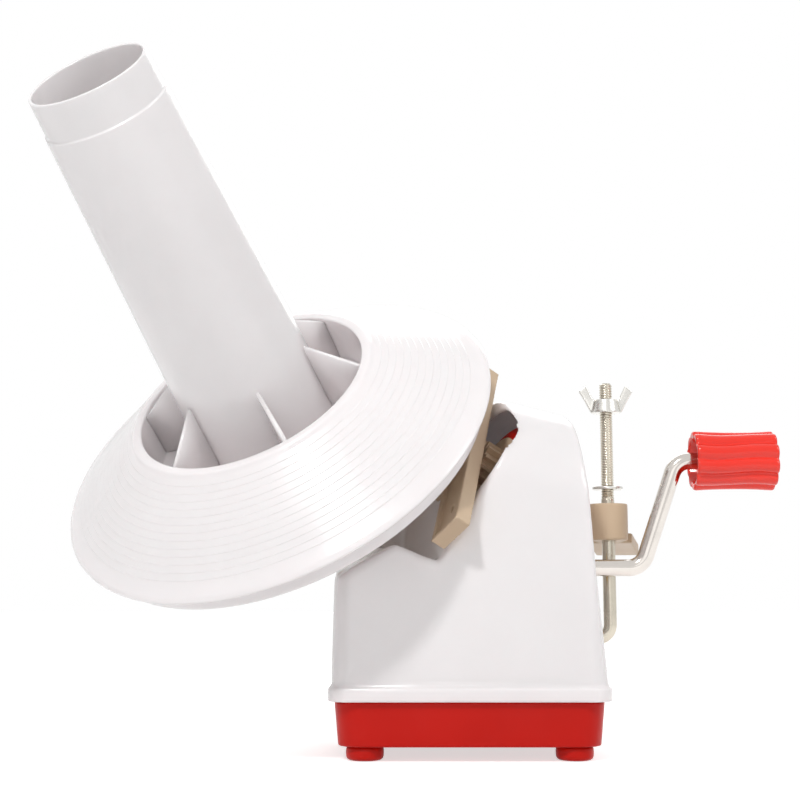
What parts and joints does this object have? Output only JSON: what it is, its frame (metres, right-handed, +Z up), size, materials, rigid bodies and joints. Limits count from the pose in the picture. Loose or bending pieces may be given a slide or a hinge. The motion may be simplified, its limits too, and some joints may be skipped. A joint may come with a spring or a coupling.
{
  "type": "yarn ball winder",
  "caption": "Hand-cranked yarn ball winder: leaning bobbin on a turning carrier, geared to a crank, on a moulded housing with a table clamp.",
  "frame": {"origin": "middle of the flat pad under the base, above the feet", "axes": "+Z up, +X towards the crank, -Y towards the side the winding head is turned to"},
  "size_m": [0.3392, 0.2254, 0.2967],
  "materials": {
    "white_plastic": "gloss",
    "red_plastic": "gloss",
    "beige_plastic": "satin",
    "nickel": "polished",
    "zinc_steel": "satin",
    "brass": "satin"
  },
  "bodies": {
    "frame": {"base_tub": "red_plastic", "feet": "red_plastic", "base_screws": "zinc_steel", "housing_shell": "white_plastic", "inner_frame": "red_plastic", "frame_screws": "zinc_steel", "head_bushes": "brass", "sun_gear": "beige_plastic", "sun_screws": "zinc_steel", "axle_bushes": "brass"},
    "crank": {"crank_rod": "nickel", "drive_gear": "beige_plastic", "axle_clip": "zinc_steel", "grip_clip": "zinc_steel"},
    "grip": {"grip": "red_plastic"},
    "carrier": {"main_shaft": "zinc_steel", "main_pinion": "beige_plastic", "shaft_clip": "zinc_steel", "shaft_nut": "zinc_steel", "carrier_arm": "beige_plastic", "spindle_bracket": "beige_plastic", "bracket_screws": "zinc_steel", "bobbin_spindle": "zinc_steel", "spindle_clip": "zinc_steel"},
    "planet": {"planet_shaft": "zinc_steel", "planet_gear": "beige_plastic", "planet_pinion": "beige_plastic"},
    "bobbin": {"bobbin_gear": "beige_plastic", "gear_screws": "zinc_steel", "lower_plate": "white_plastic", "winding_disc": "white_plastic", "bobbin_tube": "white_plastic"},
    "hook_bolt": {"hook_bolt": "zinc_steel", "hook_clip": "zinc_steel"},
    "washer": {"washer": "zinc_steel"},
    "clamp_jaw": {"clamp_jaw": "beige_plastic"},
    "wing_nut": {"wing_nut": "zinc_steel"}
  },
  "joints": [
    {"name": "crank_spin", "type": "hinge", "parent": "frame", "child": "crank", "pos_m": [0, 0.01221, 0.0789], "axis": [1, 0, 0], "continuous": true},
    {"name": "grip_spin", "type": "hinge", "parent": "crank", "child": "grip", "pos_m": [0, 0.01221, 0.1304], "axis": [1, 0, 0], "continuous": true},
    {"name": "carrier_spin", "type": "hinge", "parent": "frame", "child": "carrier", "pos_m": [0.0003, -0.02, 0.131], "axis": [-0.8179, -0.3026, 0.4894], "continuous": true},
    {"name": "planet_spin", "type": "hinge", "parent": "carrier", "child": "planet", "pos_m": [-0.00878, -0.00913, 0.12254], "axis": [-0.8179, -0.3026, 0.4894], "continuous": true},
    {"name": "bobbin_spin", "type": "hinge", "parent": "carrier", "child": "bobbin", "pos_m": [-0.12173, -0.06514, 0.20402], "axis": [-0.3478, -0.6283, 0.6958], "continuous": true},
    {"name": "bolt_swing", "type": "hinge", "parent": "frame", "child": "hook_bolt", "pos_m": [0.072, 0.028, 0.0455], "axis": [-1, 0, 0], "range_deg": [0, 180]},
    {"name": "washer_slide", "type": "slide", "parent": "hook_bolt", "child": "washer", "axis": [0, 0, 1], "range_m": [-0.0065, 0.036]},
    {"name": "jaw_slide", "type": "slide", "parent": "hook_bolt", "child": "clamp_jaw", "axis": [0, 0, 1], "range_m": [-0.034, 0.0065]},
    {"name": "nut_turn", "type": "hinge", "parent": "hook_bolt", "child": "wing_nut", "pos_m": [0.072, 0.028, 0.0455], "axis": [0, 0, 1], "continuous": true}
  ],
  "couplings": [
    {"joint": "carrier_spin", "follows": "crank_spin", "ratio": 3},
    {"joint": "planet_spin", "follows": "crank_spin", "ratio": 3.6},
    {"joint": "bobbin_spin", "follows": "crank_spin", "ratio": -1.2}
  ]
}
